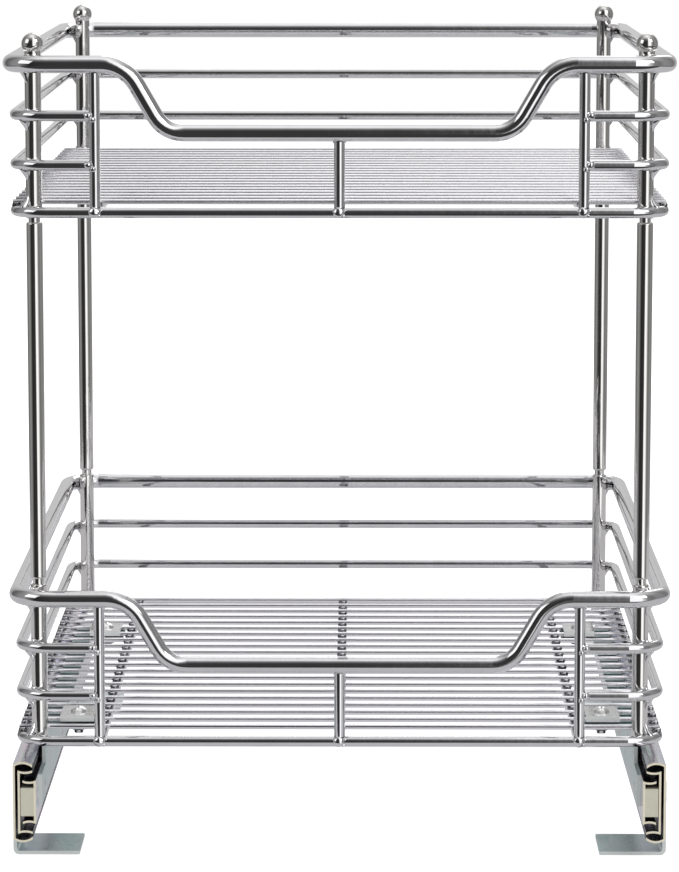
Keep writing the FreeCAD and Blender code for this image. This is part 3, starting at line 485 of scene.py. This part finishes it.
# %% Clamp plates, screws and nuts
wires_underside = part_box("lower_floor_wires")[0][2]
# Faces along the slide, such as the front of a plate's lip, get a near-white, less metallic colour: a
# painted highlight.
finishes["clamp_nickel"] = zinc(
    "clamp_nickel", [(0.3, (0.92, 0.92, 0.92)), (0.7, (0.98, 0.98, 0.97))],
    (0.99, 0.99, 0.98), 4.0 * MM, 0.05, 0.12, waves=0.05 * MM, dark=(0.05, 0.05, 0.05),
    box={"High": wires_underside - 2.0 * MM})
finishes["black_oxide"] = zinc(
    "black_oxide", [(0.3, (0.05, 0.05, 0.05)), (0.7, (0.11, 0.10, 0.10))],
    (0.08, 0.08, 0.08), 3.0 * MM, 0.30, 0.45)
print("screws are dark below", round((wires_underside - 2.0 * MM) / MM, 1), "mm")

# %% [markdown]
# The balls are ground and hardened steel, and the cages are thin plain strip with a film of
# oil. Both sit deep in the slides, where the film makes them dark. They need no film of
# colours, so their material is a simpler one.

# %% Bearing balls and ball cages
def plain_steel(name, dark, light, patch, smooth, rough):
    """Unplated steel with clouds and scratches."""
    finish, tree, shader = new_metal(name)
    clouds = use_group(tree, plating, Patch_Size=patch, Fineness=2.0)
    marks = use_group(tree, scratches, Line_Width=0.2 * MM, Length_Ratio=20.0, Amount=0.4)
    tint = mix_colours(tree, clouds["Clouds"], dark, light)
    tree.links.new(tint, shader.inputs["Base Color"])
    haze = math_node(tree, "ADD", clouds["Clouds"], marks["Lines"])
    roughen(tree, shader, haze, smooth, rough)
    raise_bumps(tree, shader, clouds["Ripple"], 0.01 * MM)
    return finish


finishes["bearing_steel"] = plain_steel("ground_balls", (0.55, 0.56, 0.58), (0.78, 0.78, 0.80),
                                        4.0 * MM, 0.06, 0.14)
finishes["cage_steel"] = plain_steel("oiled_cage", (0.28, 0.27, 0.25), (0.46, 0.45, 0.42),
                                     8.0 * MM, 0.25, 0.40)
print("finishes:", ", ".join(finishes))

# %% [markdown]
# The end stop is a moulded block. Moulded plastic is not metallic: its colour is nearly even,
# with a fine spark-eroded texture from the mould that breaks up the gloss. The plating group's
# noise serves for the texture too, at a size of about a millimetre.

# %% Moulded stop block
def moulded(name, dark, light):
    """A plastic with a fine texture from its mould."""
    finish, tree, shader = new_metal(name, Metallic=0.0, IOR=1.5)
    clouds = use_group(tree, plating, Patch_Size=6.0 * MM, Fineness=3.0)
    texture = use_group(tree, plating, Patch_Size=1.2 * MM, Fineness=4.0)
    tint = mix_colours(tree, clouds["Clouds"], dark, light)
    tree.links.new(tint, shader.inputs["Base Color"])
    roughen(tree, shader, texture["Clouds"], 0.38, 0.58)
    raise_bumps(tree, shader, texture["Ripple"], 0.05 * MM)
    return finish


finishes["stop_plastic"] = moulded("pale_moulding", (0.50, 0.48, 0.38), (0.61, 0.60, 0.49))
print("finishes:", ", ".join(finishes))

# %% [markdown]
# ## Give every CAD node its finish
# The record says which slot each node belongs to. Assigning to the node's own material slots
# keeps its mesh as it is.

# %% Dress the CAD nodes
slot_of = {entry["node"]: entry["material_slot"] for entry in frame["record"]["subparts"]}
for name, solid in frame["nodes"].items():
    for place in range(len(solid.material_slots)):
        solid.material_slots[place].material = finishes[slot_of[name]]
print("dressed", len(frame["nodes"]), "nodes")

# %% [markdown]
# ## Weld beads
# Every crossing of two wires is resistance welded: the wires are squeezed together while a
# current melts the spot between them, and a small smooth bead of metal is pushed out round it.
# The chrome covers it. One bead could be a metaball, but a hundred of them would be slow, so
# each is a small sphere in mesh code, given its own three sizes and made a little uneven.

# %% Helpers that make a group of beads
UP = (0.0, 0.0, 1.0)


def mesh_object(name, mesh):
    """The result of mesh code as an object of the scene."""
    data = bpy.data.meshes.new(name)
    mesh.to_mesh(data)
    mesh.free()
    made = bpy.data.objects.new(name, data)
    bpy.context.collection.objects.link(made)
    return made


def bead(joint, sizes, moved=(0.0, 0.0, 0.0), axis=UP):
    """A bead near a joint: its middle, its half sizes and the axis of the third of them. The
    sizes and the move from the joint are in millimetres."""
    return Vector(joint) + Vector(moved) * MM, [size * MM for size in sizes], Vector(axis)


def add_bead(mesh, number, middle_point, sizes, axis, rounds):
    """A sphere with the bead's sizes. Its number makes it uneven in its own way."""
    lean = axis.normalized().to_track_quat("Z", "Y").to_matrix()
    for vert in bmesh.ops.create_icosphere(mesh, subdivisions=rounds, radius=1.0)["verts"]:
        uneven = 1.0 + 0.14 * noise.noise(vert.co * 1.3 + Vector((number * 3.1, 0.0, 0.0)))
        sized = Vector([part * size for part, size in zip(vert.co, sizes)])
        vert.co = middle_point + lean @ sized * uneven


print("helpers: mesh_object, bead, add_bead")

# %% [markdown]
# Where a wire bends round a post, the melt has run into the corner between them as a web. It is
# a sphere too, drawn out to a tip on the post and widened towards the wire.

# %% Helper that makes a web
TIP_HALF_WIDTH = 1.2 * MM
EXTRA_REACH, EXTRA_WIDTH, EXTRA_DEPTH = 4.0 * MM, 2.0 * MM, 3.2 * MM
WEB_START = 0.15


def add_web(mesh, foot, outward, wire_level, rise_by):
    """A web at a post. Rise_by is the signed height from the wire's middle to the web's tip."""
    aside = Vector((-outward.y, outward.x, 0.0))
    for vert in bmesh.ops.create_icosphere(mesh, subdivisions=3, radius=1.0)["verts"]:
        out, across, up = vert.co
        near_wire = ((1.0 + up) / 2) ** 2
        reach = POST + EXTRA_REACH * near_wire
        half_depth = TIP_HALF_WIDTH + EXTRA_DEPTH * near_wire
        half_width = TIP_HALF_WIDTH + EXTRA_WIDTH * near_wire
        vert.co = foot + outward * (reach + out * half_depth) + aside * across * half_width
        vert.co.z = wire_level + rise_by * (WEB_START + (1.0 - WEB_START) * (1.0 - up) / 2)


def weld_mesh(name, beads, rounds, webs=()):
    """One mesh of webs and beads that rides on the basket."""
    mesh = bmesh.new()
    for web in webs:
        add_web(mesh, *web)
    for number, (middle_point, sizes, axis) in enumerate(beads):
        add_bead(mesh, number, middle_point, sizes, axis, rounds)
    bmesh.ops.recalc_face_normals(mesh, faces=mesh.faces)
    for face in mesh.faces:
        face.smooth = True
    welds = mesh_object(name, mesh)
    welds.data.materials.append(finishes["chrome_wire"])
    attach(welds, "basket")
    print(name, len(beads), "beads", len(webs), "webs")


print("helpers: add_web, weld_mesh")

# %% [markdown]
# The beads have to sit on the wires, so their places are read from the CAD nodes. The posts
# stand inside the corners and touch each wire on the diagonal. A web fills the corner between
# wire and post, below the rim and the side wires but above the frame. A small bead shows on the
# wire's other side.

# %% Beads where the posts meet the rims, side wires and frames
CORNERS = [(f"{end}_{hand}", side, 1 if end == "rear" else -1)
           for end in ("front", "rear") for hand, side in (("left", -1), ("right", 1))]
WEB_RISE = 6.0 * MM


def middle(node, axis):
    """The middle of a node's box on one axis."""
    low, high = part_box(node)
    return (low[axis] + high[axis]) / 2


def post_crossings(tier):
    """Each crossing: the post's foot, the way out to the wire, the wire's height and half
    thickness, and 1 or -1 for a web above or below it."""
    levels = [(middle(f"{tier}_high_side_wire", 2), WIRE, -1),
              (middle(f"{tier}_low_side_wire", 2), WIRE, -1),
              (middle(f"{tier}_bottom_frame", 2), WIRE, 1),
              (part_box(f"{tier}_rim")[1][2] - RIM, RIM, -1)]
    for corner, side, end in CORNERS:
        post = f"{tier}_post_{corner}"
        foot = Vector((middle(post, 0), middle(post, 1), 0.0))
        for level in levels:
            yield foot, Vector((side, end, 0.0)).normalized(), *level


for tier in TIERS:
    beads, webs = [], []
    for foot, outward, height, half, way in post_crossings(tier):
        webs.append((foot, outward, height, way * (half + WEB_RISE)))
        small = foot + outward * POST
        small.z = height - way * half * 0.8
        beads.append(bead(small, (1.5, 1.5, 1.4), axis=outward))
    weld_mesh(f"{tier}_post_welds", beads, 3, webs)

# %% [markdown]
# Front stays: each side wire ends against the flank of an outer stay, and each stay stands on
# the frame wire and reaches up to the rim. The beads here are the largest ones of the basket.

# %% Beads at the front stays
def stay_beads(tier):
    """Beads at both ends of each stay, and where the side wires end on the outer stays."""
    beads = []
    low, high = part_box(f"{tier}_front_stays")
    front = (low[1] + high[1]) / 2
    outer = high[0] - WIRE
    frame_level = middle(f"{tier}_bottom_frame", 2)
    rim_box_low, rim_box_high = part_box(f"{tier}_rim")
    dip_underside, rim_underside = rim_box_low[2], rim_box_high[2] - 2 * RIM
    for across, top in ((-outer, rim_underside), (outer, rim_underside), (0.0, dip_underside)):
        foot = (across, front, frame_level)
        for hand in (1, -1):
            beads.append(bead((across, front, top), (1.6, 2.1, 1.3), (hand * 2.2, 0.0, -0.1)))
            beads.append(bead(foot, (1.4, 1.8, 1.2), (hand * 3.2, -1.0, 1.2)))
        beads.append(bead(foot, (3.3, 2.3, 3.0), (-0.3, -2.6, 0.4)))
        beads.append(bead(foot, (1.2, 1.4, 1.1), (2.2, -2.2, -1.6)))
    for side in (-1, 1):
        for wire in ("high", "low"):
            end = (side * outer, front, middle(f"{tier}_{wire}_side_wire", 2))
            beads.append(bead(end, (2.4, 2.5, 2.4), (side * 3.4, -2.0, 0.2)))
            beads.append(bead(end, (1.7, 1.5, 1.6), (side * 0.9, -2.9, -1.9)))
    return beads


for tier in TIERS:
    weld_mesh(f"{tier}_stay_welds", stay_beads(tier), 3)

# %% [markdown]
# Floor wires lie across the two sides of the frame and three rods below. At each crossing a pair
# of tiny beads sits in the corner between wire and rod. There are hundreds of them, so their
# spheres are coarser.

# %% Beads under the floor wires
FLOOR_WIRES = 21


def floor_beads(tier):
    """A pair of beads at every crossing of a floor wire with what is below it."""
    beads = []
    low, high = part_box(f"{tier}_floor_wires")
    half = (high[2] - low[2]) / 2
    pitch = (high[1] - low[1] - 2 * half) / (FLOOR_WIRES - 1)
    frame_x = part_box(f"{tier}_bottom_frame")[1][0] - WIRE
    rod_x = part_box(f"{tier}_floor_rods")[1][0] - WIRE
    for number in range(FLOOR_WIRES):
        along = low[1] + half + number * pitch
        for across in (-frame_x, -rod_x, 0.0, rod_x, frame_x):
            for way in (-1, 1):
                corner = (across, along + way * half * 0.95, low[2])
                beads.append(bead(corner, (2.4, 1.6, 1.6), (0.0, 0.0, -0.2)))
    return beads


for tier in TIERS:
    weld_mesh(f"{tier}_floor_welds", floor_beads(tier), 2)

# %% [markdown]
# ## The studio
# Polished metal shows its surroundings more than itself, so the studio is what makes it look
# like chrome. The real one would be panels and black cloths on stands. Here the world is drawn
# by direction instead, because a direction is all that a mirror this small can show. Each
# direction has a height above the horizon and a heading, which is counted from the camera's
# side to the right.

# %% Angles of a direction
world = bpy.data.worlds.new("studio")
bpy.context.scene.world = world
world.use_nodes = True
tree = world.node_tree
tree.nodes.clear()
look = add_node(tree, "TexCoord").outputs["Generated"]
sides = add_node(tree, "SeparateXYZ", {"Vector": look}).outputs
DEGREES = 180.0 / math.pi
level = math_node(tree, "MULTIPLY", math_node(tree, "ARCSINE", sides["Z"]), DEGREES)
to_front = math_node(tree, "MULTIPLY", sides["Y"], -1.0)
heading = math_node(tree, "MULTIPLY", math_node(tree, "ARCTAN2", sides["X"], to_front), DEGREES)


def angle_ramp(angle, widest, stops):
    """Greys by angle, from minus the widest angle to plus the widest."""
    factor = map_range(tree, angle, -widest, widest)
    return colour_ramp(tree, factor, *((0.5 + stop / (2 * widest), grey) for stop, grey in stops))


print("helper: angle_ramp")

# %% [markdown]
# There is a white ceiling, a dark wall on the camera's side with a tall white panel right of the
# lens, and a dark room floor. These give each upright its dark stripe beside a white one, and
# each level wire its light top and dark middle. The panel's near edge is soft, which turns the
# right ends of the rims silvery.

# %% The world's walls, panel and ceiling
WALLS = [(-180, 0.50), (-150, 0.40), (-128, 0.09), (-98, 0.22), (-78, 0.25), (-61, 0.13),
         (-45, 0.018), (1, 0.035), (5, 0.16), (11, 1.0), (34, 1.0), (43, 0.50), (54, 0.19),
         (70, 0.15), (88, 0.23), (108, 0.21), (130, 0.16), (150, 0.38), (180, 0.50)]
CEILING = [(-90, 0.0), (25, 0.0), (40, 0.05), (52, 0.17), (60, 0.33), (68, 0.58), (80, 0.95),
           (84, 1.0)]
ROOM_FLOOR, CEILING_WHITE, BRIGHTNESS = 0.035, 0.86, 1.27

walls = angle_ramp(heading, 180.0, WALLS)
above_floor = map_range(tree, level, -22.0, -15.0)
walls = mix_colours(tree, above_floor, ROOM_FLOOR, walls)
room = mix_colours(tree, angle_ramp(level, 90.0, CEILING), walls, CEILING_WHITE)
room = mix_colours(tree, 1.0, room, BRIGHTNESS, "MULTIPLY")
print("walls have", len(WALLS), "greys and the ceiling", len(CEILING))

# %% [markdown]
# Only mirrored rays see this room. The camera sees pure white behind the rack, as in a picture
# for a catalogue, and dull surfaces are lit by an even grey.

# %% What each kind of ray sees
WHITE, EVEN_LIGHT = 1.0, 0.75
rays = add_node(tree, "LightPath").outputs
mirrored = math_node(tree, "MAXIMUM", rays["Is Glossy Ray"], rays["Is Transmission Ray"])
seen = mix_colours(tree, mirrored, EVEN_LIGHT, room)
seen = mix_colours(tree, rays["Is Camera Ray"], seen, WHITE)
backdrop = add_node(tree, "Background", {"Color": seen, "Strength": 1.0})
add_node(tree, "OutputWorld", {"Surface": backdrop.outputs[0]})
print("world:", world.name)

# %% [markdown]
# The floor is pale and nearly level with white. The camera sees it as white, less whatever
# shadow the rack throws on it: a share of its own white light is mixed with its lit colour.

# %% The floor
def stage_paint(name, sheet):
    """A new material on a sheet of the studio, and its node tree."""
    paint = bpy.data.materials.new(name)
    paint.use_nodes = True
    sheet.data.materials.append(paint)
    return paint.node_tree


def make_floor(half_size, level, own_light):
    """A wide floor that the chrome doesn't mirror."""
    mesh = bmesh.new()
    bmesh.ops.create_grid(mesh, x_segments=8, y_segments=8, size=half_size)
    ground = mesh_object("studio_floor", mesh)
    ground.location.z = level
    ground.visible_glossy = False
    tree = stage_paint("pale_floor", ground)
    shader = tree.nodes["Principled BSDF"]
    shader.inputs["Roughness"].default_value = 0.9
    shader.inputs["Specular IOR Level"].default_value = 0.1
    clouds = use_group(tree, plating, Patch_Size=0.8, Fineness=2.0)
    tint = mix_colours(tree, clouds["Clouds"], 0.90, 0.93)
    tree.links.new(tint, shader.inputs["Base Color"])
    seen = add_node(tree, "LightPath").outputs["Is Camera Ray"]
    share = math_node(tree, "MULTIPLY", seen, own_light)
    glow = add_node(tree, "Emission", {"Color": opaque(1.0), "Strength": share})
    both = add_node(tree, "AddShader", {0: shader.outputs[0], 1: glow.outputs[0]})
    tree.links.new(both.outputs[0], tree.nodes["Material Output"].inputs["Surface"])
    return ground


studio_floor = make_floor(6.0, -0.3 * MM, 0.62)
print("floor:", studio_floor.name)

# %% [markdown]
# Chrome mirrors the table it stands on, and the room is dark beyond the table's front edge. So
# low wires have a pale underside and high ones a dark one. The table's mirror image is a plane
# of its own, seen by reflected rays only, a hair above the floor's level.

# %% The table as the chrome sees it
def make_table(front, rear, half_wide, level):
    """A glowing sheet that only mirrored rays see."""
    mesh = bmesh.new()
    places = ((-half_wide, front), (half_wide, front), (half_wide, rear), (-half_wide, rear))
    mesh.faces.new([mesh.verts.new((across, along, 0.0)) for across, along in places])
    table = mesh_object("mirrored_table", mesh)
    table.location.z = level
    table.visible_camera = table.visible_diffuse = table.visible_shadow = False
    tree = stage_paint("table_glow", table)
    clouds = use_group(tree, plating, Patch_Size=0.3, Fineness=2.0)
    tint = mix_colours(tree, clouds["Clouds"], (0.52, 0.515, 0.535), (0.60, 0.595, 0.605))
    glow = add_node(tree, "Emission", {"Color": tint, "Strength": 1.0})
    tree.links.new(glow.outputs[0], tree.nodes["Material Output"].inputs["Surface"])
    return table


table = make_table(-0.45, 3.0, 1.2, -0.2 * MM)
print("table:", [round(size, 2) for size in table.dimensions], "m")

# %% [markdown]
# Three large soft lamps model the plain steel parts and the plastic. They are weak: the chrome
# takes its look from the world, and large lamps only add a soft direction to the light.

# %% Soft lamps
LAMPS_AIM = Vector((0.0, 0.0, 0.2))


def soft_lamp(name, place, size, watts):
    """A square lamp that is turned to the rack."""
    light = bpy.data.lights.new(name, "AREA")
    light.shape = "SQUARE"
    light.size = size
    light.energy = watts
    lamp = bpy.data.objects.new(name, light)
    lamp.location = place
    lamp.rotation_euler = (LAMPS_AIM - Vector(place)).to_track_quat("-Z", "Y").to_euler()
    bpy.context.collection.objects.link(lamp)
    return lamp


for lamp in (soft_lamp("key_lamp", (1.6, -1.8, 1.9), 1.2, 14.0),
             soft_lamp("fill_lamp", (-1.9, -1.2, 1.4), 1.4, 7.0),
             soft_lamp("rear_lamp", (0.4, 2.0, 1.8), 1.4, 7.0)):
    print(lamp.name, lamp.data.energy, "W")

# %% [markdown]
# ## Colour management
# The scene shows its colours through the Standard view transform.

# %% Set the view transform
bpy.context.scene.view_settings.view_transform = "Standard"
